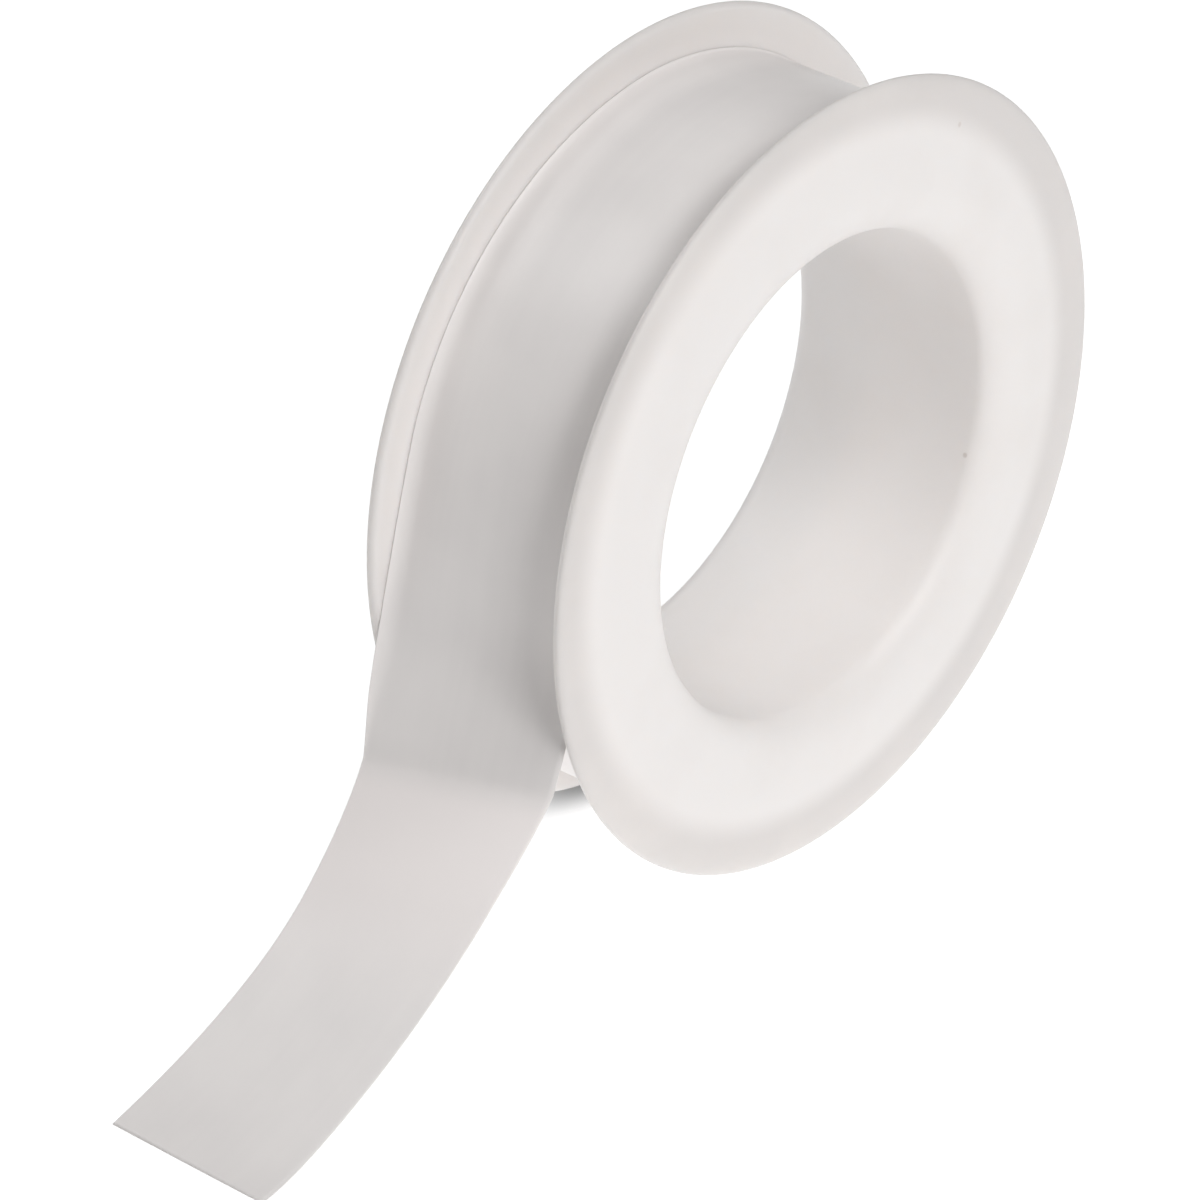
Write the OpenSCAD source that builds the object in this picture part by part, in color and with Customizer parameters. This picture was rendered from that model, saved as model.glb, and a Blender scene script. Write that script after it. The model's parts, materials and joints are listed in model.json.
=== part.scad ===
// Thread seal tape roll: a two-piece moulded spool, the tape wound on it and the tape's loose end.
// The roll's axis lies along Y with its origin at the middle of the bore. The front flange is at -Y, the
// loose end runs forward to -X, and +Z is up: the roll stands on the rims of its flanges, as on a table.

/* [Spool] */
// Diameter of the flanges
spool_d = 46; // [44:0.5:60]
// Diameter of the bore
bore_d = 28.2; // [20:0.2:29]
// Wall of the hub tube that the tape is wound on
hub_wall = 1.5; // [1.3:0.1:2.4]
// Thickness of a flange at the crown of its domed face
flange_t = 1.35; // [1.1:0.05:2.5]
// Radius of the edge between a flange's rim and its inner face
rim_edge = 0.4; // [0.2:0.05:0.6]
// Diameter of the ring where a flange's face stands proudest
crown_d = 33.6; // [32:0.2:37]
// Depth of the rounded mouth at each end of the bore
mouth_depth = 1.6; // [0.8:0.1:3]

/* [Press fit of the rear flange] */
// Wall of the thinned hub end that goes into the collar
spigot_wall = 0.8; // [0.6:0.1:1]
// Length of the collar, inward from the flange
collar_len = 4; // [2:0.5:8]

/* [Tape] */
// Width of the tape
tape_w = 12; // [9:0.5:19]
// Thickness of the tape
tape_t = 0.1; // [0.1:0.05:0.2]
// Gap between the tape's edge and a flange
side_gap = 0.15; // [0.1:0.05:0.5]
// Diameter over the inner turns
wound_d = 40.3; // [34:0.1:41]
// Gap between the inner turns and the outermost one
turn_gap = 0.15; // [0.1:0.05:0.3]
// Width of the far edge that curls up against the rear flange
curl_w = 0.8; // [0.4:0.1:1.5]
// Height of that curl
curl_h = 0.2; // [0.1:0.05:0.4]

/* [Loose end] */
// Angle, from the back of the roll up over its top, where the outermost turn begins
turn_start = -160; // [-160:1:-90]
// Angle where the far edge of the strip lifts off the roll
far_leave = 161; // [150:1:175]
// Angle where the near edge lifts off
near_leave = 193; // [180:1:196]
// Distance from the roll's axis forward to the far corner of the cut end
far_reach = 45.8; // [40:0.2:60]
// Distance from the roll's axis forward to the near corner of the cut end
near_reach = 47.4; // [40:0.2:60]
// Height of the far corner above the table
far_rise = 0.15; // [0.1:0.05:2]
// Height of the near corner above the table
near_rise = 1.2; // [0.1:0.05:3]
// Slope of the far edge where it ends
far_slope = 11; // [0:1:20]
// Slope of the near edge where it ends
near_slope = -1; // [-4:1:12]
// How long the far edge keeps the direction that it leaves the roll with
far_follow = 18; // [12:0.5:22]
// How long the near edge keeps that direction
near_follow = 2.4; // [2:0.2:6]
// How long the far edge keeps the direction that it ends with
far_land = 22.5; // [16:0.5:24]
// How long the near edge keeps the direction that it ends with
near_land = 10; // [8:0.5:16]

/* [Hidden] */
$fn = 96;

// Radii from the roll's axis
spool_r = spool_d / 2;
bore_r = bore_d / 2;
hub_r = bore_r + hub_wall;
spigot_r = bore_r + spigot_wall;
crown_r = crown_d / 2;
wound_r = wound_d / 2;
strip_r = wound_r + turn_gap;

// Distances along the axis from the middle of the roll
inner_y = tape_w / 2 + side_gap;
rim_y = inner_y + rim_edge;
crown_y = inner_y + flange_t;
mouth_y = crown_y - mouth_depth;
shoulder_y = inner_y - collar_len;

// Counts of points on the round stretches
ARC_POINTS = 14;
EDGE_POINTS = 5;
ROUTE_POINTS = 72;

// Points of a face closer than this to where it is cut are left out
LEAST_STEP = 0.05;

// Counts of sections along the outermost turn and along the loose end
TURN_RINGS = 65;
TAIL_RINGS = 40;
STRIP_RINGS = TURN_RINGS + TAIL_RINGS;

// Share of the strip, at its end, over which the curl of its far edge dies out
CURL_FADE = 0.25;

// Places of the strip this many sections apart count as far from each other
CLEAR_RINGS = 10;

// A point on an ellipse round [r, y], at an angle from the direction away from the axis
function on_ellipse(centre, half_r, half_y, a) = centre + [half_r * cos(a), half_y * sin(a)];

// Height of a flange's outer face at a radius from the axis: up the mouth to the crown, then down the dome
function face_y(r) =
    r < crown_r
    ? mouth_y + mouth_depth * sqrt(1 - ((crown_r - r) / (crown_r - bore_r)) ^ 2)
    : rim_y + (crown_y - rim_y) * sqrt(1 - ((r - crown_r) / (spool_r - crown_r)) ^ 2);

// Points of that face, from just past the bore's wall to the rim
face = concat(
    [for (i = [1:ARC_POINTS])
        on_ellipse([crown_r, mouth_y], crown_r - bore_r, mouth_depth, 180 - 90 * i / ARC_POINTS)],
    [for (i = [1:ARC_POINTS])
        on_ellipse([crown_r, rim_y], spool_r - crown_r, crown_y - rim_y, 90 * (1 - i / ARC_POINTS))]);

// The face outside a radius, and inside it, with a point at the radius itself
function face_outside(r) =
    let (start = [r, face_y(r)])
    concat([start], [for (p = face) if (p[0] > r && norm(p - start) > LEAST_STEP) p]);
function face_inside(r) =
    let (end = [r, face_y(r)])
    concat([[bore_r, mouth_y]], [for (p = face) if (p[0] < r && norm(p - end) > LEAST_STEP) p], [end]);

// The rim's inner edge, from just past the widest circle to the inner face
function edge_arc() =
    [for (i = [1:EDGE_POINTS])
        on_ellipse([spool_r - rim_edge, rim_y], rim_edge, rim_edge, -90 * i / EDGE_POINTS)];

// The outline of a flange outside a radius, from the mouth of the bore to the foot of its inner face
function flange_outline(from_r) = concat(face_outside(from_r), edge_arc(), [[hub_r, inner_y]]);

// The same points on the other side of the roll's middle
function mirrored(points) = [for (p = points) [p[0], -p[1]]];

function reversed(points) = [for (i = [len(points) - 1:-1:0]) points[i]];

// A body of revolution round the roll's axis, from an outline in [radius, distance along the axis]
module turned(outline) {
    rotate([-90, 0, 0]) rotate_extrude() polygon(outline);
}

// Front flange and hub tube in one moulding, with the hub's end thinned to a spigot for the rear flange
module spool_body() {
    color("white") turned(concat(
        mirrored(flange_outline(bore_r)),
        [[hub_r, shoulder_y], [spigot_r, shoulder_y]],
        reversed(face_inside(spigot_r))));
}

// Rear flange, whose collar is pressed over the spigot and ends flush with the hub
module rear_flange() {
    color("white") turned(concat(
        flange_outline(spigot_r),
        [[hub_r, shoulder_y], [spigot_r, shoulder_y]]));
}

// The inner turns of the tape, wound tight on the hub
module tape_pack() {
    color("gainsboro") turned([
        [hub_r, -tape_w / 2], [wound_r, -tape_w / 2],
        [wound_r, tape_w / 2], [hub_r, tape_w / 2]]);
}

// A point of the outermost turn, [x, z], and the way that the tape runs there
function on_turn(a) = strip_r * [cos(a), sin(a)];
function along_turn(a) = [-sin(a), cos(a)];

// A point of a cubic curve with four control points
function bezier(p, u) =
    (1 - u) ^ 3 * p[0] + 3 * (1 - u) ^ 2 * u * p[1] + 3 * (1 - u) * u ^ 2 * p[2] + u ^ 3 * p[3];

// The outermost turn, up to where the far edge lifts off
turn_route = [for (i = [0:TURN_RINGS - 1])
    on_turn(turn_start + (far_leave - turn_start) * i / TURN_RINGS)];

// One edge of the loose end: on round the roll to where it lifts off, then to the table in a single bend
function tail_route(leave, follow, reach, rise, slope, land) =
    let (end = [-reach, rise - spool_r],
         bend = [on_turn(leave), on_turn(leave) + follow * along_turn(leave),
                 end + land * [cos(slope), sin(slope)], end])
    concat(
        [for (a = [far_leave:1:leave - 1]) on_turn(a)],
        [for (i = [0:ROUTE_POINTS]) bezier(bend, i / ROUTE_POINTS)]);

// Length of a route up to each of its points
function lengths(route, i = 1, sums = [0]) =
    i == len(route) ? sums
    : lengths(route, i + 1, concat(sums, [sums[i - 1] + norm(route[i] - route[i - 1])]));

// A route's points at equal steps of its length
function evenly(route, count) =
    let (sums = lengths(route), total = sums[len(sums) - 1],
         xs = [for (i = [0:len(route) - 1]) [sums[i], route[i][0]]],
         zs = [for (i = [0:len(route) - 1]) [sums[i], route[i][1]]])
    [for (i = [0:count]) [lookup(total * i / count, xs), lookup(total * i / count, zs)]];

far_tail = tail_route(far_leave, far_follow, far_reach, far_rise, far_slope, far_land);
near_tail = tail_route(near_leave, near_follow, near_reach, near_rise, near_slope, near_land);
far_edge = concat(turn_route, evenly(far_tail, TAIL_RINGS));
near_edge = concat(turn_route, evenly(near_tail, TAIL_RINGS));

// The strip's upper side at one of its rings: square to the tape's run, away from the roll
function run_at(edge, i) =
    let (step = edge[min(i + 1, STRIP_RINGS)] - edge[max(i - 1, 0)])
    step / norm(step);
function up_at(edge, i) = [run_at(edge, i)[1], -run_at(edge, i)[0]];

// Places across the strip, in shares of its width: near edge, middle, foot of the curl and far edge
ACROSS = [0, 0.5, 1 - curl_w / tape_w, 1];

// How far the curl lifts a place across the strip at one of its rings
function curl_at(i, share) = share < 1 ? 0 : curl_h * min(1, (1 - i / STRIP_RINGS) / CURL_FADE);

// A point of ring i at a place across the strip, lifted off its lower side
function strip_point(i, share, lift) =
    let (p = near_edge[i] + (far_edge[i] - near_edge[i]) * share,
         up = up_at(near_edge, i) + (up_at(far_edge, i) - up_at(near_edge, i)) * share,
         q = p + lift * up / norm(up))
    [q[0], tape_w * (share - 0.5), q[1]];

// The strip's section at ring i: across its lower side, then back across its upper side
function strip_ring(i) = concat(
    [for (share = ACROSS) strip_point(i, share, curl_at(i, share))],
    [for (share = reversed(ACROSS)) strip_point(i, share, curl_at(i, share) + tape_t)]);

// The outermost turn and the loose end, one unbroken strip. Its lower and upper sides are split along the
// same diagonals, so that it keeps its thickness where it twists.
module tape_strip() {
    half = len(ACROSS);
    sides = 2 * half;
    last = STRIP_RINGS * sides;
    points = [for (i = [0:STRIP_RINGS]) each strip_ring(i)];
    walls = [for (i = [0:STRIP_RINGS - 1], k = [0:sides - 1])
        let (a = i * sides + k, b = i * sides + (k + 1) % sides, c = a + sides, d = b + sides)
        each k < half ? [[a, b, c], [b, d, c]] : [[a, b, d], [a, d, c]]];
    start = [for (k = [0:half - 2])
        let (m = sides - 1 - k)
        each [[k, m, k + 1], [k + 1, m, m - 1]]];
    end = [for (f = start) [last + f[0], last + f[2], last + f[1]]];
    color("whitesmoke") polyhedron(points, concat(walls, start, end), convexity = 8);
}

// The least gap between two places of the strip that are far from each other along it
strip_gap = min([
    for (edge = [far_edge, near_edge], i = [0:STRIP_RINGS], j = [i + CLEAR_RINGS:1:STRIP_RINGS])
        norm(edge[i] - edge[j])]) - tape_t;
echo(str("least gap of the strip to itself: ", strip_gap, " mm"));

spool_body();
rear_flange();
tape_pack();
tape_strip();
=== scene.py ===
"""Looks of a thread seal tape roll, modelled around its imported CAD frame.

The two mouldings of the spool, the inner turns of film and the outermost turn with its loose end are smooth
meshes with procedural finishes. Everything is in metres, in the frame of the CAD model: the roll's axis lies
along Y with the origin at the middle of the bore, the front flange is at -Y, the loose end runs forward to -X
and +Z is up.
"""

import json
import logging
import math
from dataclasses import dataclass, field
from enum import Enum

import bmesh
import bpy
from mathutils import Matrix, Vector, noise

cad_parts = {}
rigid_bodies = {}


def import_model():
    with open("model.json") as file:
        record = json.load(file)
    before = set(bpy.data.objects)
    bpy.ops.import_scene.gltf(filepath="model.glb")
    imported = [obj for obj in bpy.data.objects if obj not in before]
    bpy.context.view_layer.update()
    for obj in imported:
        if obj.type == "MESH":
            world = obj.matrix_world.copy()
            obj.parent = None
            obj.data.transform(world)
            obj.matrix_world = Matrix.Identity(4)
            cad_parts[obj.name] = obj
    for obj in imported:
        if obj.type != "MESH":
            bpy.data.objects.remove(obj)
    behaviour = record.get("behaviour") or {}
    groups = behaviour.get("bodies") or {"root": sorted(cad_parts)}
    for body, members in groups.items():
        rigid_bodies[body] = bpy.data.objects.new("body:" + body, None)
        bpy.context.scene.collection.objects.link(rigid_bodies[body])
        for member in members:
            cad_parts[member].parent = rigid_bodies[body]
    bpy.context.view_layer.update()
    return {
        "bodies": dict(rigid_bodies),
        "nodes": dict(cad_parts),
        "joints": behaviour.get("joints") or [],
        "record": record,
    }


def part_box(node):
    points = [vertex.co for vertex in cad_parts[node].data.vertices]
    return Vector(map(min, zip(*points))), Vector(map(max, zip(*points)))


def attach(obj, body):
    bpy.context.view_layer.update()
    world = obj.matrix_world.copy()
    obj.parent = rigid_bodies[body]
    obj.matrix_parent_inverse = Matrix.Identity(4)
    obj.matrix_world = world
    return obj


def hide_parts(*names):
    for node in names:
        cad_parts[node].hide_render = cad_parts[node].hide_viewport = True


MM = 0.001
TURN = 2.0 * math.pi
# Two vertices, or two shares of a length, that are closer than this are one.
MERGE = 1e-7
# The film's own UV map runs along the strip and across it, in metres.
UV_NAME = "film"
# Places of the colour sockets on a Mix node, where each name stands for several sockets.
SHARE, FIRST, SECOND, BLEND = 0, 6, 7, 2
LOG = logging.getLogger("tape_roll")


class Body(Enum):
    """The moving bodies of the CAD frame."""

    SPOOL = "spool"
    TAPE_END = "tape_end"


class Slot(Enum):
    """The material slots of the CAD record."""

    PLASTIC = "spool_plastic"
    FILM = "tape_film"


class Side(Enum):
    """The sides of the roll, as the direction along its axis."""

    FRONT = -1
    REAR = 1


def linear(code: str) -> tuple[float, float, float, float]:
    """Turn an sRGB hex colour into linear light.

    Args:
        code: Colour as "#RRGGBB".

    Returns:
        Red, green, blue and alpha for a colour socket.
    """
    shares = [int(code[i:i + 2], 16) / 255.0 for i in (1, 3, 5)]
    red, green, blue = (c / 12.92 if c <= 0.04045 else ((c + 0.055) / 1.055) ** 2.4 for c in shares)
    return red, green, blue, 1.0


def smooth_step(value: float, low: float, high: float) -> float:
    """Rise from 0 to 1 with soft ends.

    Args:
        value: Where to read the step.
        low: Where it starts to rise.
        high: Where it has risen.

    Returns:
        A share from 0 to 1.
    """
    share = min(1.0, max(0.0, (value - low) / (high - low)))
    return share * share * (3.0 - 2.0 * share)


def toward(azimuth: float, elevation: float) -> Vector:
    """Find the direction from the roll to a place around it.

    Args:
        azimuth: Where the place is, in degrees: 0 in front at -Y, 90 at +X.
        elevation: How high it is, in degrees.

    Returns:
        A unit vector.
    """
    turn, rise = math.radians(azimuth), math.radians(elevation)
    return Vector((math.sin(turn) * math.cos(rise), -math.cos(turn) * math.cos(rise), math.sin(rise)))


def add_node(
    tree: bpy.types.NodeTree,
    kind: str,
    inputs: dict[str | int, object] | None = None,
    **settings: object,
) -> bpy.types.Node:
    """Add a shader node with its settings, values and links.

    Args:
        tree: Tree that takes the node.
        kind: Type of the node without its common prefix, such as "TexNoise".
        inputs: Value of a socket by name or place, or the output that is linked to it.
        settings: Properties of the node by name.

    Returns:
        The new node.
    """
    node = tree.nodes.new("ShaderNode" + kind)
    for name, value in settings.items():
        setattr(node, name, value)
    for name, value in (inputs or {}).items():
        if isinstance(value, bpy.types.NodeSocket):
            tree.links.new(value, node.inputs[name])
        else:
            node.inputs[name].default_value = value
    return node


def new_material(name: str) -> tuple[bpy.types.Material, bpy.types.NodeTree]:
    """Make a material with an empty node tree.

    Args:
        name: Name of the material.

    Returns:
        The material and its tree.
    """
    material = bpy.data.materials.new(name)
    material.use_nodes = True
    material.node_tree.nodes.clear()
    return material, material.node_tree


def new_piece(name: str, bm: bmesh.types.BMesh, sharp: float = math.radians(50)) -> bpy.types.Object:
    """Turn a finished bmesh into a smooth-shaded object at the origin.

    Args:
        name: Name of the piece.
        bm: Its geometry, in the CAD frame; it is freed.
        sharp: Edges whose faces turn by more than this stay crisp.

    Returns:
        The new object.
    """
    for face in bm.faces:
        face.smooth = True
    for edge in bm.edges:
        edge.smooth = edge.is_manifold and edge.calc_face_angle(0.0) < sharp
    mesh = bpy.data.meshes.new(name)
    bm.to_mesh(mesh)
    bm.free()
    piece = bpy.data.objects.new(name, mesh)
    bpy.context.scene.collection.objects.link(piece)
    return piece


def dress(piece: bpy.types.Object, material: bpy.types.Material, body: Body, node: str) -> None:
    """Give a piece its material and its part in the CAD model.

    Args:
        piece: The piece.
        material: Its finish.
        body: Body that it moves with.
        node: CAD node that it is shown in place of.
    """
    piece.data.materials.append(material)
    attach(piece, body.value)
    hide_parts(node)


class HalfSection:
    """The half section of a turned piece, drawn at z = 0 with x as the radius and y along the axis."""

    def __init__(self) -> None:
        """Start an empty section."""
        self.bm = bmesh.new()
        self.first: bmesh.types.BMVert | None = None
        self.last: bmesh.types.BMVert | None = None

    def line(self, r: float, y: float) -> None:
        """Draw a straight line from where the section stands to a radius and a place along the axis."""
        self._join(self.bm.verts.new((r, y, 0.0)))

    def arc(
        self,
        centre: tuple[float, float],
        halves: tuple[float, float],
        start: float,
        end: float,
        steps: int,
    ) -> None:
        """Draw a stretch of an ellipse, from where the section stands.

        Args:
            centre: Radius and axial place of the ellipse's centre.
            halves: Its half sizes along the radius and along the axis.
            start: Angle where the stretch starts, from the direction away from the axis, in degrees.
            end: Angle where it ends.
            steps: Edges in the stretch.
        """
        sweep = math.radians(end - start)
        before = set(self.bm.verts)
        head = self.bm.verts.new((math.cos(math.radians(start)), math.sin(math.radians(start)), 0.0))
        spun = bmesh.ops.spin(
            self.bm, geom=[head], cent=(0, 0, 0), axis=(0, 0, 1), dvec=(0, 0, 0), angle=sweep, steps=steps)
        tail = next(item for item in spun["geom_last"] if isinstance(item, bmesh.types.BMVert))
        drawn = [vert for vert in self.bm.verts if vert not in before]
        bmesh.ops.scale(self.bm, vec=(halves[0], halves[1], 1.0), verts=drawn)
        bmesh.ops.translate(self.bm, vec=(centre[0], centre[1], 0.0), verts=drawn)
        self._join(head)
        self.last = tail

    def turned(self, steps: int) -> bmesh.types.BMesh:
        """Close the section and turn it once round the roll's axis.

        Args:
            steps: Facets round the axis.

        Returns:
            The turned solid, with its faces outwards.
        """
        self.bm.edges.new((self.last, self.first))
        bmesh.ops.remove_doubles(self.bm, verts=self.bm.verts[:], dist=MERGE)
        bmesh.ops.spin(
            self.bm, geom=self.bm.verts[:] + self.bm.edges[:], cent=(0, 0, 0), axis=(0, 1, 0),
            dvec=(0, 0, 0), angle=TURN, steps=steps, use_merge=True)
        bmesh.ops.remove_doubles(self.bm, verts=self.bm.verts[:], dist=MERGE)
        bmesh.ops.recalc_face_normals(self.bm, faces=self.bm.faces[:])
        return self.bm

    def _join(self, vert: bmesh.types.BMVert) -> None:
        """Link a vertex to the end of the section.

        Args:
            vert: The vertex, from which the section goes on.
        """
        if self.last is None:
            self.first = vert
        else:
            self.bm.edges.new((self.last, vert))
        self.last = vert


@dataclass(frozen=True)
class MouldedPolypropylene:
    """Natural polypropylene, injection moulded in a satin mould.

    It looks waxy and a little translucent, with faint flow clouds, a soft gloss and a few dark specks in the
    resin.
    Shade is painted into its colour: white where the wound film backs the wall, greyer at the rim where only
    air lies behind it, and partly grey on the flanges' inner faces.

    Attributes:
        backed: Colour where film lies behind the wall, without painted shade.
        clear: Colour of the painted shade, where air lies behind the wall.
        cloud: Colour of the flow clouds.
        speck: Colour of the specks.
        rim_shade_from: Distance from the middle of the painted shade ring, which stands for the film behind
            the wall, where the painted shade starts.
        rim_shade_to: Distance where it is full.
        off_centre: How far the middle of the painted shade ring lies off the roll's axis.
        face_from: Distance from the middle of the roll where a flange's outer face starts to take the full
            painted shade.
        face_to: Distance where it has it.
        inner_share: Share of the painted shade that a flange's inner face has.
        cloud_size: Width of a flow cloud.
        cloud_detail: Finer layers in a cloud.
        cloud_from: Level of the cloud pattern where a cloud starts to show.
        cloud_to: Level where it shows most.
        cloud_share: Share of the clouds' colour there.
        speck_r: Radius of a speck.
        speck_core: Share of that radius inside which a speck has its full colour.
        specks: Places of the specks on the front moulding, in millimetres.
        grain_size: Width of the mould's satin grain, drawn coarser than the real one so that it shows.
        grain_detail: Finer layers in the grain.
        grain_h: Height of the grain.
        grain_share: How strongly the grain turns the light.
        gloss: Roughness between the clouds and in them.
        ior: Refractive index.
        scatter: Share of the light that enters the plastic and spreads in it.
        scatter_depth: How far that light spreads.
        scatter_tint: Share of that distance for red, green and blue light.
    """

    backed: str = "#F0ECEA"
    clear: str = "#DDD9D7"
    cloud: str = "#E9E4E1"
    speck: str = "#DAD3CF"
    rim_shade_from: float = 19.4 * MM
    rim_shade_to: float = 21.4 * MM
    off_centre: tuple[float, float, float] = (-0.95 * MM, 0.0, 0.8 * MM)
    face_from: float = 6.15 * MM
    face_to: float = 6.55 * MM
    inner_share: float = 0.45
    cloud_size: float = 7.0 * MM
    cloud_detail: float = 3.0
    cloud_from: float = 0.45
    cloud_to: float = 0.8
    cloud_share: float = 0.5
    speck_r: float = 0.2 * MM
    speck_core: float = 0.4
    specks: tuple[tuple[float, float, float], ...] = ((10.9, -7.3, 17.4), (13.1, -5.9, -5.3))
    grain_size: float = 0.35 * MM
    grain_detail: float = 2.0
    grain_h: float = 0.05 * MM
    grain_share: float = 0.06
    gloss: tuple[float, float] = (0.42, 0.54)
    ior: float = 1.49
    scatter: float = 0.65
    scatter_depth: float = 1.3 * MM
    scatter_tint: tuple[float, float, float] = (1.0, 0.95, 0.9)

    def material(self) -> bpy.types.Material:
        """Make the plastic's material.

        Returns:
            The material, patterned on Object coordinates.
        """
        # Polypropylene from a satin mould: soft-edged shade, a broad dull highlight and a milky depth.
        material, tree = new_material("moulded_polypropylene")
        place = add_node(tree, "TexCoord").outputs["Object"]
        clouds = add_node(
            tree, "TexNoise",
            {"Vector": place, "Scale": 1.0 / self.cloud_size, "Detail": self.cloud_detail}).outputs[0]
        grain = add_node(
            tree, "TexNoise",
            {"Vector": place, "Scale": 1.0 / self.grain_size, "Detail": self.grain_detail}).outputs[0]
        gloss = add_node(
            tree, "MapRange",
            {"Value": clouds, "To Min": self.gloss[0], "To Max": self.gloss[1]}).outputs["Result"]
        satin = add_node(
            tree, "Bump",
            {"Height": grain, "Strength": self.grain_share, "Distance": self.grain_h}).outputs["Normal"]
        shader = add_node(
            tree, "BsdfPrincipled",
            {"Base Color": self._colour(tree, place, clouds), "Roughness": gloss, "Normal": satin,
             "IOR": self.ior, "Subsurface Weight": self.scatter, "Subsurface Radius": self.scatter_tint,
             "Subsurface Scale": self.scatter_depth})
        add_node(tree, "OutputMaterial", {"Surface": shader.outputs[0]})
        return material

    def _colour(
        self, tree: bpy.types.NodeTree, place: bpy.types.NodeSocket, clouds: bpy.types.NodeSocket,
    ) -> bpy.types.NodeSocket:
        """Lay the clouds and the specks over the wall's colour with its painted shade.

        Args:
            tree: Tree that takes the nodes.
            place: Object coordinates.
            clouds: Pattern of the flow clouds.

        Returns:
            The colour.
        """
        # Painted shade: the wall is mixed from its own colour towards a grey at the rim and on the flanges'
        # inner faces.
        wall = add_node(
            tree, "Mix",
            {SHARE: self._painted_shade_share(tree, place), FIRST: linear(self.backed), SECOND: linear(self.clear)},
            data_type="RGBA").outputs[BLEND]
        drift = add_node(
            tree, "MapRange",
            {"Value": clouds, "From Min": self.cloud_from, "From Max": self.cloud_to,
             "To Max": self.cloud_share}).outputs["Result"]
        colour = add_node(
            tree, "Mix", {SHARE: drift, FIRST: wall, SECOND: linear(self.cloud)},
            data_type="RGBA").outputs[BLEND]
        for spot in self.specks:
            gap = add_node(
                tree, "VectorMath", {0: place, 1: Vector(spot) * MM}, operation="DISTANCE").outputs["Value"]
            mark = add_node(
                tree, "MapRange",
                {"Value": gap, "From Min": self.speck_r, "From Max": self.speck_core * self.speck_r},
                interpolation_type="SMOOTHSTEP").outputs["Result"]
            colour = add_node(
                tree, "Mix", {SHARE: mark, FIRST: colour, SECOND: linear(self.speck)},
                data_type="RGBA").outputs[BLEND]
        return colour

    def _painted_shade_share(self, tree: bpy.types.NodeTree, place: bpy.types.NodeSocket) -> bpy.types.NodeSocket:
        """Find the share of painted shade on the wall, by how far it stands out past the film behind it.

        Args:
            tree: Tree that takes the nodes.
            place: Object coordinates.

        Returns:
            A share from 0 to 1.
        """
        shifted = add_node(
            tree, "VectorMath", {0: place, 1: self.off_centre}, operation="SUBTRACT").outputs[0]
        flat = add_node(tree, "VectorMath", {0: shifted, 1: (1, 0, 1)}, operation="MULTIPLY").outputs[0]
        radius = add_node(tree, "VectorMath", {0: flat}, operation="LENGTH").outputs["Value"]
        edge = add_node(
            tree, "MapRange", {"Value": radius, "From Min": self.rim_shade_from, "From Max": self.rim_shade_to},
            interpolation_type="SMOOTHSTEP").outputs["Result"]
        axial = add_node(tree, "SeparateXYZ", {0: place}).outputs["Y"]
        depth = add_node(tree, "Math", {0: axial}, operation="ABSOLUTE").outputs[0]
        outside = add_node(
            tree, "MapRange",
            {"Value": depth, "From Min": self.face_from, "From Max": self.face_to,
             "To Min": self.inner_share}).outputs["Result"]
        return add_node(tree, "Math", {0: edge, 1: outside}, operation="MULTIPLY").outputs[0]


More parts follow.
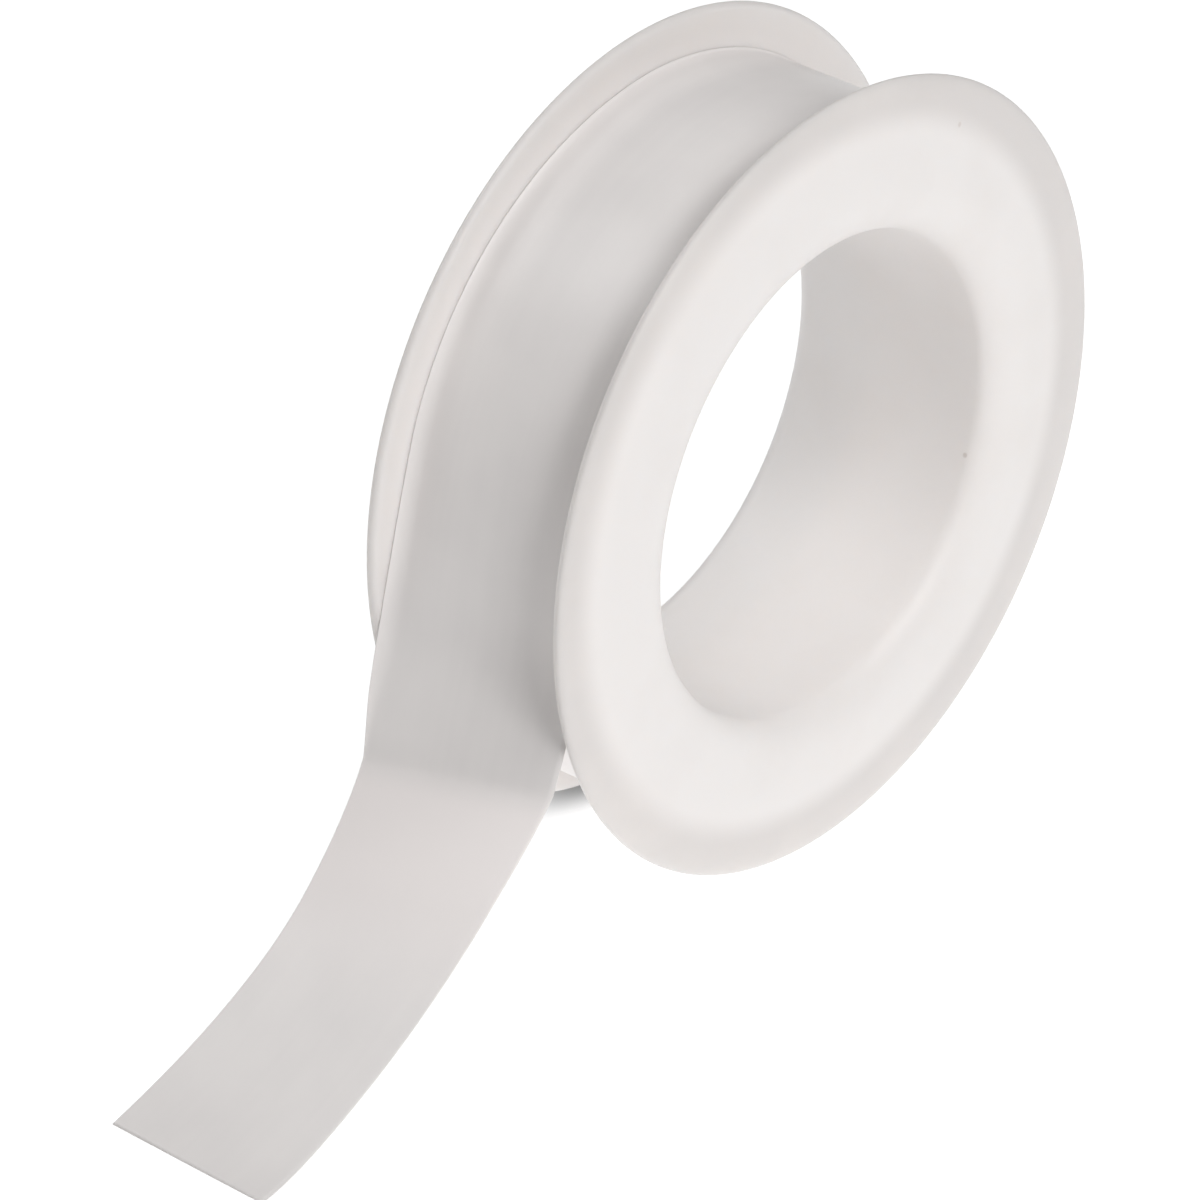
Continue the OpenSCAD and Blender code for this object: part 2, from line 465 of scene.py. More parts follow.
@dataclass(frozen=True)
class StretchedFilm:
    """Fluoropolymer film, skived and stretched along its length.

    It is white with a soft, slightly greasy sheen. The stretching leaves fine lengthwise streaks, and the
    tension of the winding leaves soft clouds across them. Light is painted on the free film past its crease,
    which makes it whiter there.

    Attributes:
        bright: Colour of the dense film.
        pale: Colour of the thinner streaks.
        painted_light: Colour of the painted light on the free film past its crease.
        slant: How much further along the painted light starts for each length across.
        white_from: Length along the strip where the painted light starts.
        white_full: Length where it is full.
        white_fade: Length where it starts to fade.
        white_to: Length where it has gone.
        streak_w: Spacing of the streaks, drawn coarser than the real ones so that they show.
        streak_l: Length of a streak.
        streak_detail: Finer layers in a streak.
        cloud_l: Length of a cloud along the film.
        cloud_w: Width of a cloud across the film.
        cloud_detail: Finer layers in a cloud.
        cloud_share: Share of the clouds in the pattern; the streaks have the rest.
        thin_from: Level of the pattern where the film starts to look thin.
        thin_to: Level where it looks thinnest.
        thin_share: Share of the thin film's colour there.
        rib_h: Height of the pattern on the film's surface.
        rib_share: How strongly it turns the light.
        gloss: Roughness between the streaks and in them.
        ior: Refractive index.
    """

    bright: str = "#F3EFED"
    pale: str = "#E6E2E1"
    painted_light: str = "#FCF6F4"
    slant: float = 0.17
    white_from: float = 129.5 * MM
    white_full: float = 132.0 * MM
    white_fade: float = 135.0 * MM
    white_to: float = 146.0 * MM
    streak_w: float = 0.6 * MM
    streak_l: float = 18.0 * MM
    streak_detail: float = 4.0
    cloud_l: float = 7.0 * MM
    cloud_w: float = 6.0 * MM
    cloud_detail: float = 2.0
    cloud_share: float = 0.82
    thin_from: float = 0.35
    thin_to: float = 0.7
    thin_share: float = 0.5
    rib_h: float = 0.05 * MM
    rib_share: float = 0.05
    gloss: tuple[float, float] = (0.28, 0.4)
    ior: float = 1.38

    def material(self) -> bpy.types.Material:
        """Make the film's material.

        Returns:
            The material, patterned on the piece's own UV map.
        """
        # Skived and stretched film: a soft, slightly greasy sheen that breaks up along the strip.
        material, tree = new_material("stretched_film")
        run = add_node(tree, "UVMap", uv_map=UV_NAME).outputs["UV"]
        along = add_node(
            tree, "VectorMath", {0: run, 1: (1.0 / self.streak_l, 1.0 / self.streak_w, 0.0)},
            operation="MULTIPLY").outputs[0]
        across = add_node(
            tree, "VectorMath", {0: run, 1: (1.0 / self.cloud_l, 1.0 / self.cloud_w, 0.0)},
            operation="MULTIPLY").outputs[0]
        streaks = add_node(
            tree, "TexNoise", {"Vector": along, "Scale": 1.0, "Detail": self.streak_detail}).outputs[0]
        clouds = add_node(
            tree, "TexNoise", {"Vector": across, "Scale": 1.0, "Detail": self.cloud_detail}).outputs[0]
        # A Mix node takes plain numbers at the places 2 and 3.
        pattern = add_node(tree, "Mix", {SHARE: self.cloud_share, 2: streaks, 3: clouds}).outputs[0]
        gloss = add_node(
            tree, "MapRange",
            {"Value": streaks, "To Min": self.gloss[0], "To Max": self.gloss[1]}).outputs["Result"]
        ribs = add_node(
            tree, "Bump",
            {"Height": pattern, "Strength": self.rib_share, "Distance": self.rib_h}).outputs["Normal"]
        shader = add_node(
            tree, "BsdfPrincipled",
            {"Base Color": self._colour(tree, run, pattern), "Roughness": gloss, "Normal": ribs,
             "IOR": self.ior})
        add_node(tree, "OutputMaterial", {"Surface": shader.outputs[0]})
        return material

    def _colour(
        self, tree: bpy.types.NodeTree, run: bpy.types.NodeSocket, pattern: bpy.types.NodeSocket,
    ) -> bpy.types.NodeSocket:
        """Thin the film's colour by its pattern and paint light on it past the crease.

        Args:
            tree: Tree that takes the nodes.
            run: The film's UV map.
            pattern: Pattern of the streaks and clouds.

        Returns:
            The colour.
        """
        thin = add_node(
            tree, "MapRange",
            {"Value": pattern, "From Min": self.thin_from, "From Max": self.thin_to,
             "To Max": self.thin_share}).outputs["Result"]
        wound = add_node(
            tree, "Mix", {SHARE: thin, FIRST: linear(self.bright), SECOND: linear(self.pale)},
            data_type="RGBA").outputs[BLEND]
        # Painted light: past a slanted line at the crease the free film is mixed towards a whiter colour,
        # which fades out further down.
        length = add_node(
            tree, "VectorMath", {0: run, 1: (1.0, -self.slant, 0.0)},
            operation="DOT_PRODUCT").outputs["Value"]
        starts = add_node(
            tree, "MapRange", {"Value": length, "From Min": self.white_from, "From Max": self.white_full},
            interpolation_type="SMOOTHSTEP").outputs["Result"]
        stays = add_node(
            tree, "MapRange", {"Value": length, "From Min": self.white_to, "From Max": self.white_fade},
            interpolation_type="SMOOTHSTEP").outputs["Result"]
        white = add_node(tree, "Math", {0: starts, 1: stays}, operation="MULTIPLY").outputs[0]
        return add_node(
            tree, "Mix", {SHARE: white, FIRST: wound, SECOND: linear(self.painted_light)},
            data_type="RGBA").outputs[BLEND]


@dataclass
class Spool:
    """The two mouldings: the front flange with the hub, and the rear flange pressed onto the hub's end.

    Attributes:
        rim_r: Radius of the flanges.
        bore_r: Radius of the bore.
        crown_y: Distance from the middle of the roll to the crown of a flange's face.
        mouth_y: Distance to where the bore starts to widen.
        inner_y: Distance to a flange's inner face.
        shoulder_y: Distance to the end of the rear flange's collar.
        hub_wall: Wall of the hub.
        spigot_wall: Wall of the hub's thinned end.
        crown_r: Radius of the ring where a flange's face stands proudest.
        rim_edge: Radius of the edge between the rim and the inner face.
        seam_w: Width of the rounded edges that show the press seam.
        steps: Facets round the axis.
        mouth_steps: Edges over a mouth of the bore.
        seam_steps: Edges over the hub's end, which is part of the rear mouth.
        face_steps: Edges over a flange's domed face.
        edge_steps: Edges over the edge of the rim.
        foot_steps: Edges over the fillet between a flange and the hub.
    """

    rim_r: float
    bore_r: float
    crown_y: float
    mouth_y: float
    inner_y: float
    shoulder_y: float
    hub_wall: float = 1.5 * MM
    spigot_wall: float = 0.8 * MM
    crown_r: float = 16.8 * MM
    rim_edge: float = 0.4 * MM
    seam_w: float = 0.12 * MM
    steps: int = 192
    mouth_steps: int = 18
    seam_steps: int = 8
    face_steps: int = 24
    edge_steps: int = 6
    foot_steps: int = 4

    @classmethod
    def from_frame(cls, frame: dict, side_gap: float = 0.15 * MM) -> "Spool":
        """Read the spool's sizes from the CAD frame.

        Args:
            side_gap: Gap between the film's edge and a flange.

        Returns:
            The spool.
        """
        bore = frame["record"]["mounts"][0]["dims"]
        front, collar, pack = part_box("spool_body"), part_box("rear_flange"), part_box("tape_pack")
        return cls(
            rim_r=front[1].x, bore_r=bore["r_mm"] * MM, crown_y=-front[0].y,
            mouth_y=bore["length_mm"] * MM / 2.0, inner_y=pack[1].y + side_gap, shoulder_y=collar[0].y)

    @property
    def hub_r(self) -> float:
        """Radius of the hub."""
        return self.bore_r + self.hub_wall

    @property
    def spigot_r(self) -> float:
        """Radius of the hub's thinned end."""
        return self.bore_r + self.spigot_wall

    def build(self, finish: MouldedPolypropylene) -> list[bpy.types.Object]:
        """Model and dress both mouldings.

        Args:
            finish: The plastic.

        Returns:
            The front moulding and the rear flange.
        """
        material = finish.material()
        pieces = [self._front(), self._rear()]
        for piece, node in zip(pieces, ("spool_body", "rear_flange")):
            dress(piece, material, Body.SPOOL, node)
        return pieces

    def _front(self) -> bpy.types.Object:
        """Model the front flange with the hub tube and its thinned end.

        Returns:
            The front moulding.
        """
        section = HalfSection()
        self._mouth(section, Side.FRONT, self._mouth_angle(self.bore_r), 90.0, self.mouth_steps)
        self._flange(section, Side.FRONT)
        self._socket(section)
        seam = self._mouth_angle(self.spigot_r - self.seam_w)
        self._mouth(section, Side.REAR, seam, 180.0, self.seam_steps)
        return new_piece("spool_front", section.turned(self.steps))

    def _rear(self) -> bpy.types.Object:
        """Model the rear flange with its collar.

        Returns:
            The rear flange.
        """
        section = HalfSection()
        seam = self._mouth_angle(self.spigot_r + self.seam_w)
        self._mouth(section, Side.REAR, seam, 90.0, self.mouth_steps)
        self._flange(section, Side.REAR)
        self._socket(section)
        return new_piece("spool_rear", section.turned(self.steps))

    def _mouth_angle(self, r: float) -> float:
        """Angle on the mouth's quarter ellipse at a radius, in degrees."""
        return 180.0 - math.degrees(math.acos((self.crown_r - r) / (self.crown_r - self.bore_r)))

    def _mouth(self, section: HalfSection, side: Side, start: float, end: float, steps: int) -> None:
        """Draw a stretch of the rounded mouth of the bore.

        Args:
            section: Section that is drawn on.
            side: The mouth's side.
            start: Angle where the stretch starts: 180 degrees in the bore, 90 on the crown.
            end: Angle where it ends.
            steps: Edges in the stretch.
        """
        section.arc(
            (self.crown_r, side.value * self.mouth_y),
            (self.crown_r - self.bore_r, self.crown_y - self.mouth_y),
            side.value * start, side.value * end, steps)

    def _flange(self, section: HalfSection, side: Side) -> None:
        """Draw a flange from its crown over its domed face to the foot of its inner face.

        Args:
            section: Section that is drawn on.
            side: The flange's side.
        """
        way = side.value
        rim_y = self.inner_y + self.rim_edge
        rounded = (self.rim_edge, self.rim_edge)
        section.arc(
            (self.crown_r, way * rim_y), (self.rim_r - self.crown_r, self.crown_y - rim_y),
            way * 90.0, 0.0, self.face_steps)
        section.arc((self.rim_r - self.rim_edge, way * rim_y), rounded, 0.0, way * -90.0, self.edge_steps)
        section.line(self.hub_r + self.rim_edge, way * self.inner_y)
        section.arc(
            (self.hub_r + self.rim_edge, way * (self.inner_y - self.rim_edge)), rounded,
            way * 90.0, way * 180.0, self.foot_steps)

    def _socket(self, section: HalfSection) -> None:
        """Draw the step where the rear flange's collar sits on the hub's thinned end.

        Args:
            section: Section that is drawn on.
        """
        section.line(self.hub_r, self.shoulder_y)
        section.line(self.spigot_r, self.shoulder_y)
        section.line(self.spigot_r, self.inner_y)


@dataclass
class WoundTurns:
    """The inner turns of film, wound tight on the hub, with the slightly uneven edges of the layers.

    Attributes:
        inner_r: Radius of the hub.
        outer_r: Radius over the turns.
        half_w: Half the film's width.
        layer: Thickness of a bundle of turns whose edges lie alike.
        stagger: How far such a bundle stands back from the film's full width at most.
        stagger_pace: How far apart two bundles next to each other read the uneven pattern.
        steps: Facets round the axis.
    """

    inner_r: float
    outer_r: float
    half_w: float
    layer: float = 0.25 * MM
    stagger: float = 0.06 * MM
    stagger_pace: float = 1.7
    steps: int = 128

    @classmethod
    def from_frame(cls, spool: Spool) -> "WoundTurns":
        """Read the winding's sizes from the CAD frame.

        Args:
            spool: The spool that carries it.

        Returns:
            The winding.
        """
        _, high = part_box("tape_pack")
        return cls(inner_r=spool.hub_r, outer_r=high.x, half_w=high.y)

    def build(self, film: bpy.types.Material) -> bpy.types.Object:
        """Model and dress the winding.

        Args:
            film: Material of the film.

        Returns:
            The winding.
        """
        section = HalfSection()
        bundles = round((self.outer_r - self.inner_r) / self.layer)
        for side in Side:
            outwards = side is Side.FRONT
            for k in range(bundles) if outwards else reversed(range(bundles)):
                uneven = noise.noise(Vector((self.stagger_pace * k, side.value, 0.0)))
                edge = self.half_w - self.stagger * (0.5 + 0.5 * uneven)
                ends = (self.inner_r + self.layer * k, self.inner_r + self.layer * (k + 1))
                for r in ends if outwards else reversed(ends):
                    section.line(min(r, self.outer_r), side.value * edge)
        bm = section.turned(self.steps)
        self._unroll(bm)
        piece = new_piece("wound_turns", bm)
        dress(piece, film, Body.SPOOL, "tape_pack")
        return piece

    @staticmethod
    def _unroll(bm: bmesh.types.BMesh) -> None:
        """Lay the UV map along the turns and across them, in metres.

        Args:
            bm: The winding's geometry.
        """
        layer = bm.loops.layers.uv.new(UV_NAME)
        for face in bm.faces:
            middle = face.calc_center_median()
            heading = math.atan2(middle.z, middle.x)
            for loop in face.loops:
                spot = loop.vert.co
                r = math.hypot(spot.x, spot.z)
                turn = (math.atan2(spot.z, spot.x) - heading + math.pi) % TURN - math.pi
                loop[layer].uv = ((heading + turn) * r, spot.y + r)


class Route:
    """One edge of the strip's loose end, as a line of points in X and Z with a steady pace along it."""

    # Share of the line, to either side of a point, over which its direction is read.
    GLANCE = 0.01

    def __init__(self, points: list[Vector]) -> None:
        """Measure the line.

        Args:
            points: The line's points, close together.
        """
        self.points = points
        self.sums = [0.0]
        for before, after in zip(points, points[1:]):
            self.sums.append(self.sums[-1] + (after - before).length)

    @property
    def length(self) -> float:
        """Length of the line."""
        return self.sums[-1]

    def at(self, share: float) -> Vector:
        """Find the point at a share of the line's length.

        Args:
            share: From 0 at its start to 1 at its end.

        Returns:
            The point, in X and Z.
        """
        goal = min(1.0, max(0.0, share)) * self.length
        low, high = 0, len(self.sums) - 1
        while high - low > 1:
            middle = (low + high) // 2
            low, high = (middle, high) if self.sums[middle] <= goal else (low, middle)
        step = (goal - self.sums[low]) / (self.sums[high] - self.sums[low])
        return self.points[low].lerp(self.points[high], step)

    def up(self, share: float) -> Vector:
        """Direction away from the roll at a share of the line's length, as a unit vector in X and Z."""
        run = (self.at(share + self.GLANCE) - self.at(share - self.GLANCE)).normalized()
        return Vector((run.y, -run.x))


@dataclass(frozen=True)
class LooseEdge:
    """How an edge of the loose end leaves the roll and comes down to the table.

    Attributes:
        leave: Angle where the edge lifts off the roll, in degrees.
        follow: How long it keeps the direction that it leaves with.
        reach: Distance forward to its end.
        rise: Height of its end above the table.
        slope: Its slope there, in degrees.
        land: How long it keeps the direction that it ends with.
    """

    leave: float
    follow: float
    reach: float
    rise: float
    slope: float
    land: float


@dataclass
class OuterTurn:
    """The outermost turn of film and its loose end, one unbroken strip.

    Angles run from the back of the roll up over its top to the front, in degrees. The film leaves the roll
    along a slant, its far edge first, and comes down to the table in a single bend.

    Attributes:
        width: Width of the film.
        wound_r: Radius over the inner turns.
        table_z: Height of the table.
        thickness: Thickness of the film.
        turn_gap: Gap between the inner turns and this one.
        tuck_gap: Gap at the strip's start, where it dives under itself.
        tuck: Angle over which it dives.
        curl_w: Width of the far edge that curls up against the rear flange.
        curl_turn: Angle by which the edge itself has turned up.
        curl_reach: How far the curled edge stands out past the film's width, towards the flange.
        curl_from: Angle of the turn where the curl starts to grow.
        curl_least: Share of its size that the curl has before that.
        curl_hold: Length past the roll over which the curl keeps its size.
        curl_fade: Length after that over which it dies out.
        crease_at: Length of the strip from its start to the near end of its crease.
        crease_slant: How much further along the crease meets the far edge.
        crease_h: Depth of the crease.
        crease_above: Length over which the film sinks to the crease.
        crease_below: Length over which it rises again.
        crease_power: How much the film's slope grows towards the crease; 1 gives straight slopes.
        ripple_h: Height of the soft ripples.
        ripple_l: Length of a ripple.
        turn_start: Angle where the strip starts.
        far_edge: How its far edge leaves the roll.
        near_edge: How its near edge does.
        bend_steps: Stretches along the bend of an edge.
        rows: Grid points along the strip.
        columns: Grid points across it.
        crowding: How much the columns crowd towards the curled edge; 1 spaces them evenly.
        turn_r: Radius of the turn's upper side.
        turn_l: Length of the turn up to where the far edge lifts off.
        far: Line of the loose end's far edge.
        near: Line of its near edge.
        length: Length of the whole strip.
    """

    width: float
    wound_r: float
    table_z: float
    thickness: float = 0.06 * MM
    turn_gap: float = 0.19 * MM
    tuck_gap: float = 0.02 * MM
    tuck: float = 24.0
    curl_w: float = 1.1 * MM
    curl_turn: float = 45.0
    curl_reach: float = 0.13 * MM
    curl_from: float = 90.0
    curl_least: float = 0.25
    curl_hold: float = 11.0 * MM
    curl_fade: float = 9.0 * MM
    crease_at: float = 130.3 * MM
    crease_slant: float = 2.0 * MM
    crease_h: float = 0.55 * MM
    crease_above: float = 4.0 * MM
    crease_below: float = 7.0 * MM
    crease_power: float = 1.5
    ripple_h: float = 0.03 * MM
    ripple_l: float = 7.0 * MM
    turn_start: float = -160.0
    far_edge: LooseEdge = LooseEdge(
        leave=161.0, follow=18.0 * MM, reach=45.8 * MM, rise=0.15 * MM, slope=11.0, land=22.5 * MM)
    near_edge: LooseEdge = LooseEdge(
        leave=182.0, follow=11.8 * MM, reach=47.4 * MM, rise=1.2 * MM, slope=-1.0, land=5.4 * MM)
    bend_steps: int = 90
    rows: int = 480
    columns: int = 48
    crowding: float = 1.5
    turn_r: float = field(init=False)
    turn_l: float = field(init=False)
    far: Route = field(init=False)
    near: Route = field(init=False)
    length: float = field(init=False)

    @classmethod
    def from_frame(cls) -> "OuterTurn":
        """Read the strip's sizes from the CAD frame.

        Returns:
            The strip.
        """
        low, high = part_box("tape_pack")
        return cls(width=high.y - low.y, wound_r=high.x, table_z=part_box("spool_body")[0].z)

    def __post_init__(self) -> None:
        """Lay out both edges of the loose end."""
        self.turn_r = self.wound_r + self.turn_gap + self.thickness
        self.turn_l = self.turn_r * math.radians(self.far_edge.leave - self.turn_start)
        self.far, self.near = (self._route(edge) for edge in (self.far_edge, self.near_edge))
        self.length = self.turn_l + (self.far.length + self.near.length) / 2.0

    def build(self, film: bpy.types.Material) -> bpy.types.Object:
        """Model and dress the strip.

        Args:
            film: Material of the film.

        Returns:
            The strip.
        """
        bm = bmesh.new()
        bmesh.ops.create_grid(bm, x_segments=self.rows, y_segments=self.columns, size=0.5)
        layer = bm.loops.layers.uv.new(UV_NAME)
        # The grid runs from -0.5 to 0.5 both ways, and its places become shares of the strip.
        shares = {
            vert: (vert.co.x + 0.5, 1.0 - (vert.co.y + 0.5) ** self.crowding) for vert in bm.verts}
        for face in bm.faces:
            for loop in face.loops:
                along, across = shares[loop.vert]
                loop[layer].uv = (along * self.length, across * self.width)
        for vert, (along, across) in shares.items():
            vert.co = self._place(along, across)
        bm.normal_update()
        rim = [vert for vert, (_, across) in shares.items() if across > 1.0 - MERGE]
        bmesh.ops.solidify(bm, geom=bm.faces[:], thickness=self.thickness)
        self._thin(bm, rim)
        piece = new_piece("loose_end", bm, sharp=math.pi)
        dress(piece, film, Body.TAPE_END, "tape_strip")
        return piece

    def _thin(self, bm: bmesh.types.BMesh, rim: list[bmesh.types.BMVert]) -> None:
        """Draw the far edge of the film out to a thin edge.

        Args:
            bm: The strip with its thickness.
            rim: The far edge of its upper side.
        """
        under = {}
        for vert in rim:
            leads = [edge for edge in vert.link_edges if edge.other_vert(vert) not in rim]
            wall = min(leads, key=lambda edge: abs(edge.calc_length() - self.thickness))
            under[wall.other_vert(vert)] = vert
        bmesh.ops.weld_verts(bm, targetmap=under)

    @staticmethod
    def _on_turn(angle: float, r: float) -> Vector:
        """Point at an angle and a radius of the roll, in X and Z."""
        return r * Vector((math.cos(math.radians(angle)), math.sin(math.radians(angle))))

    @staticmethod
    def _bezier(bend: tuple[Vector, Vector, Vector, Vector], u: float) -> Vector:
        """Point of a cubic curve at a share of its parameter."""
        v = 1.0 - u
        return v ** 3 * bend[0] + 3 * v * v * u * bend[1] + 3 * v * u * u * bend[2] + u ** 3 * bend[3]

    def _route(self, edge: LooseEdge) -> Route:
        """Lay out one edge of the loose end.

        Args:
            edge: How the edge leaves the roll.

        Returns:
            The edge's line, from where the far edge lifts off.
        """
        start = self._on_turn(edge.leave, self.turn_r)
        heading = Vector((-start.y, start.x)).normalized()
        corner = Vector((-edge.reach, self.table_z + edge.rise + self.thickness))
        back = self._on_turn(edge.slope, 1.0)
        bend = (start, start + edge.follow * heading, corner + edge.land * back, corner)
        # About one point for each degree that the edge stays on the roll, and then the bend.
        first = self.far_edge.leave
        stays = round(edge.leave - first)
        points = [
            self._on_turn(first + (edge.leave - first) * i / stays, self.turn_r) for i in range(stays)]
        points += [self._bezier(bend, i / self.bend_steps) for i in range(self.bend_steps + 1)]
        return Route(points)

    def _place(self, along: float, across: float) -> Vector:
        """Find a point of the strip's upper side.

        Args:
            along: Share of the strip's length.
            across: Share of its width, from the near edge to the far one.

        Returns:
            The point.
        """
        turn_share = self.turn_l / self.length
        angle = self.turn_start + (self.far_edge.leave - self.turn_start) * along / turn_share
        if along < turn_share:
            dive = 1.0 - smooth_step(angle, self.turn_start, self.turn_start + self.tuck)
            spot = self._on_turn(angle, self.turn_r - dive * (self.turn_gap - self.tuck_gap))
            up = spot.normalized()
        else:
            share = (along - turn_share) / (1.0 - turn_share)
            spot = self.near.at(share).lerp(self.far.at(share), across)
            up = self.near.up(share).lerp(self.far.up(share), across).normalized()
        rise, shift = self._curl(along, across, angle)
        spot = spot + up * (rise - self._crease(along, across) + self._ripple(along, across))
        return Vector((spot.x, self.width * (across - 0.5) + shift, spot.y))

    def _curl(self, along: float, across: float, angle: float) -> tuple[float, float]:
        """Find how the curl of the far edge moves a point of the strip.

        Args:
            along: Share of the strip's length.
            across: Share of its width, from the near edge to the far one.
            angle: Angle of the point's place on the turn.

        Returns:
            How far the point rises, and how far it moves towards the flange.
        """
        past_roll = along * self.length - self.turn_l
        fade = 1.0 - smooth_step(past_roll, self.curl_hold, self.curl_hold + self.curl_fade)
        if fade <= 0.0:
            return 0.0, 0.0
        growth = smooth_step(angle, self.curl_from, self.far_edge.leave)
        width = self.curl_w * (self.curl_least + (1.0 - self.curl_least) * growth) * fade
        bend_r = width / math.radians(self.curl_turn)
        past = max(0.0, width - (1.0 - across) * self.width)
        drawn_in = width - bend_r * math.sin(math.radians(self.curl_turn))
        spread = across * (self.curl_reach * fade + drawn_in)
        return bend_r * (1.0 - math.cos(past / bend_r)), spread - past + bend_r * math.sin(past / bend_r)

    def _crease(self, along: float, across: float) -> float:
        """Find the depth of the crease at a point of the strip.

        Args:
            along: Share of the strip's length.
            across: Share of its width, from the near edge to the far one.

        Returns:
            The depth.
        """
        past = along * self.length - self.crease_at - self.crease_slant * across
        reach = self.crease_below if past > 0.0 else self.crease_above
        return self.crease_h * max(0.0, 1.0 - abs(past) / reach) ** self.crease_power

    def _ripple(self, along: float, across: float) -> float:
        """Height of the soft ripples at a point of the strip."""
        spot = Vector((along * self.length / self.ripple_l, across * self.width / self.ripple_l, 0.0))
        return self.ripple_h * noise.noise(spot)


@dataclass(frozen=True)
class LitTable:
    """White acrylic sheet of a product table, matt, with light from below.

    It is a plain white ground without grain or gloss. It is brightest around the roll, and a painted contact
    shadow darkens it in the narrow gap under the rear flange.

    Attributes:
        sheet: Colour of the sheet in the light from above.
        light: Colour of the light from below.
        glow: Brightness of that light.
        rough: Roughness of the sheet.
        pad_at: Middle of the part of the table that is brightest, along X and Y.
        pad: Half sizes of that part.
        pad_soft: Share of those sizes, outside them, over which its light fades.
        pad_least: Share of its light that the rest of the table gives.
        shade_at: Middle of the painted contact shadow, where the rear flange would keep the light from the
            table.
        shade: Half sizes of that patch.
        shade_soft: Share of those sizes, inside them, over which it fades.
        shade_least: Share of the light that is left in the painted shadow's middle.
    """

    sheet: str = "#898989"
    light: str = "#FFFFFF"
    glow: float = 0.9
    rough: float = 0.9
    pad_at: tuple[float, float] = (14.5 * MM, 22.0 * MM)
    pad: tuple[float, float] = (78.0 * MM, 400.0 * MM)
    pad_soft: float = 2.0
    pad_least: float = 0.5
    shade_at: tuple[float, float] = (0.0, 8.0 * MM)
    shade: tuple[float, float] = (10.5 * MM, 4.2 * MM)
    shade_soft: float = 0.5
    shade_least: float = 0.15

    def material(self) -> bpy.types.Material:
        """Make the table's material.

        Returns:
            The material, patterned on Object coordinates.
        """
        # Matt acrylic lit from below: an even white that shows no edge and no reflection.
        material, tree = new_material("lit_table")
        # Painted contact shadow: the table's glow is dimmed in a soft oval under the rear flange.
        unshaded = add_node(
            tree, "MapRange",
            {"Value": self._away(tree, self.shade_at, self.shade), "From Min": 1.0 - self.shade_soft,
             "From Max": 1.0, "To Min": self.shade_least * self.glow, "To Max": self.glow},
            interpolation_type="SMOOTHSTEP").outputs["Result"]
        on_pad = add_node(
            tree, "MapRange",
            {"Value": self._away(tree, self.pad_at, self.pad), "From Min": 1.0 + self.pad_soft,
             "From Max": 1.0, "To Min": self.pad_least},
            interpolation_type="SMOOTHSTEP").outputs["Result"]
        strength = add_node(tree, "Math", {0: unshaded, 1: on_pad}, operation="MULTIPLY").outputs[0]
        shader = add_node(
            tree, "BsdfPrincipled",
            {"Base Color": linear(self.sheet), "Roughness": self.rough,
             "Emission Color": linear(self.light), "Emission Strength": strength})
        add_node(tree, "OutputMaterial", {"Surface": shader.outputs[0]})
        return material

    @staticmethod
    def _away(
        tree: bpy.types.NodeTree, middle: tuple[float, float], halves: tuple[float, float],
    ) -> bpy.types.NodeSocket:
        """Measure how far a place on the table lies from the middle of an oval.

        Args:
            tree: Tree that takes the nodes.
            middle: The oval's middle, along X and Y.
            halves: Its half sizes.

        Returns:
            The distance, 1 on the oval.
        """
        place = add_node(tree, "TexCoord").outputs["Object"]
        shifted = add_node(
            tree, "VectorMath", {0: place, 1: (*middle, 0.0)}, operation="SUBTRACT").outputs[0]
        flat = add_node(
            tree, "VectorMath", {0: shifted, 1: (1.0 / halves[0], 1.0 / halves[1], 0.0)},
            operation="MULTIPLY").outputs[0]
        return add_node(tree, "VectorMath", {0: flat}, operation="LENGTH").outputs["Value"]


@dataclass(frozen=True)
class SoftBox:
    """A square studio light that faces the roll.

    Attributes:
        name: Name of the light.
        azimuth: Where it stands, in degrees: 0 in front at -Y, 90 at +X.
        elevation: How high it stands, in degrees.
        power: Its power in watts.
        size: Its side.
        distance: How far it stands from the roll.
        colour: Its colour.
    """

    name: str
    azimuth: float
    elevation: float
    power: float
    size: float = 0.4
    distance: float = 0.8
    colour: str = "#FFFFFF"

    def place(self) -> None:
        """Set the light up."""
        lamp = bpy.data.lights.new(self.name, "AREA")
        lamp.shape = "SQUARE"
        lamp.size = self.size
        lamp.energy = self.power
        lamp.color = linear(self.colour)[:3]
        light = bpy.data.objects.new(self.name, lamp)
        away = toward(self.azimuth, self.elevation)
        light.location = away * self.distance
        light.rotation_euler = away.to_track_quat("Z", "Y").to_euler()
        light.visible_camera = False
        bpy.context.scene.collection.objects.link(light)


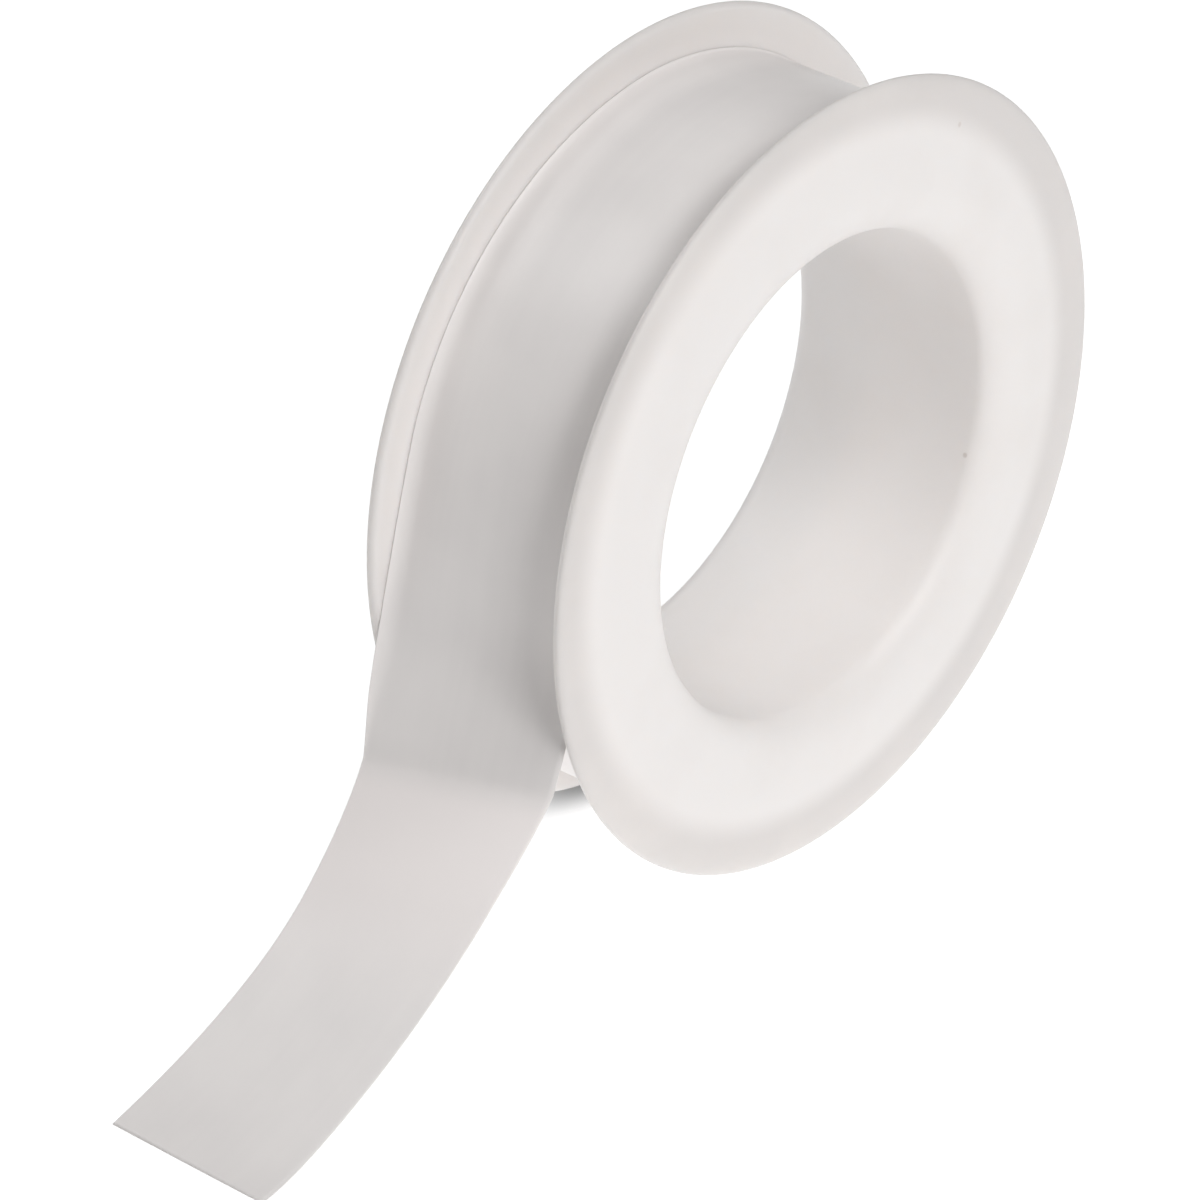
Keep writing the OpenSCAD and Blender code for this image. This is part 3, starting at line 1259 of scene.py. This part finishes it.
@dataclass
class Studio:
    """The camera, a white table and plain soft light in a dark room.

    Attributes:
        table_z: Height of the table.
        azimuth: Where the camera stands, in degrees from the front, negative towards -X.
        elevation: How high it stands, in degrees.
        roll: How far it is turned about its view, in degrees.
        distance: Distance from the roll's middle to the camera.
        lens: Focal length in millimetres.
        sensor: Width of the sensor in millimetres.
        clip_start: Distance from the camera where the view starts.
        shift_right: How far the view's middle lies right of the roll's middle.
        shift_up: How far it lies above it.
        table_size: Width of the round table.
        table_steps: Edges round it.
    """

    table_z: float
    azimuth: float = -49.75
    elevation: float = 32.7
    roll: float = -1.42
    distance: float = 598.7 * MM
    lens: float = 328.6
    sensor: float = 36.0
    clip_start: float = 10.0 * MM
    shift_right: float = -7.24 * MM
    shift_up: float = -8.82 * MM
    table_size: float = 3.0
    table_steps: int = 64

    def camera(self) -> None:
        """Set the camera up at the photograph's viewing angle."""
        roll = math.radians(self.roll)
        back = toward(self.azimuth, self.elevation)
        level = toward(self.azimuth + 90.0, 0.0)
        right = math.cos(roll) * level + math.sin(roll) * back.cross(level)
        up = back.cross(right)
        spot = back * self.distance + right * self.shift_right + up * self.shift_up
        data = bpy.data.cameras.new("camera")
        data.lens = self.lens
        data.sensor_width = self.sensor
        data.clip_start = self.clip_start
        camera = bpy.data.objects.new("camera", data)
        camera.matrix_world = Matrix.Translation(spot) @ Matrix((right, up, back)).transposed().to_4x4()
        bpy.context.scene.collection.objects.link(camera)
        bpy.context.scene.camera = camera

    def light(self, boxes: tuple[SoftBox, ...]) -> None:
        """Set the lights up and darken the room around them.

        Args:
            boxes: The soft lights.
        """
        for box in boxes:
            box.place()
        world = bpy.data.worlds.new("dark_room")
        world.use_nodes = True
        world.node_tree.nodes["Background"].inputs["Strength"].default_value = 0.0
        bpy.context.scene.world = world
        bpy.context.scene.view_settings.view_transform = "Standard"

    def table(self, finish: LitTable) -> None:
        """Lay the white table that the roll stands on.

        Args:
            finish: The table's sheet.
        """
        bm = bmesh.new()
        bmesh.ops.create_circle(
            bm, cap_ends=True, segments=self.table_steps, radius=self.table_size / 2.0)
        bmesh.ops.translate(bm, vec=(0.0, 0.0, self.table_z), verts=bm.verts[:])
        table = new_piece("table", bm)
        table.data.materials.append(finish.material())


LIGHTS = (
    SoftBox("front", 0.0, 35.0, 0.3, size=0.25),
    SoftBox("front_high", 0.0, 55.0, 2.0),
    SoftBox("front_left", -20.0, 35.0, 1.9, size=0.25),
    SoftBox("overhead", 0.0, 89.0, 0.75, size=0.5),
    SoftBox("rear_left", -150.0, 55.0, 1.1, size=0.3),
    SoftBox("rear", 180.0, 25.0, 1.25),
    SoftBox("right", 90.0, 30.0, 0.35, size=0.5),
)


def main() -> None:
    """Build the scene around the CAD frame and report each piece."""
    logging.basicConfig(level=logging.INFO, format="%(name)s: %(message)s")
    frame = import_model()
    spool = Spool.from_frame(frame)
    strip = OuterTurn.from_frame()
    studio = Studio(table_z=strip.table_z)
    studio.camera()
    studio.light(LIGHTS)
    studio.table(LitTable())
    film = StretchedFilm().material()
    pieces = spool.build(MouldedPolypropylene())
    pieces.append(WoundTurns.from_frame(spool).build(film))
    pieces.append(strip.build(film))
    for piece in pieces:
        LOG.info("%s: %d faces", piece.name, len(piece.data.polygons))
    LOG.info("strip: %.1f mm long", strip.length / MM)


if __name__ == "__main__":
    main()
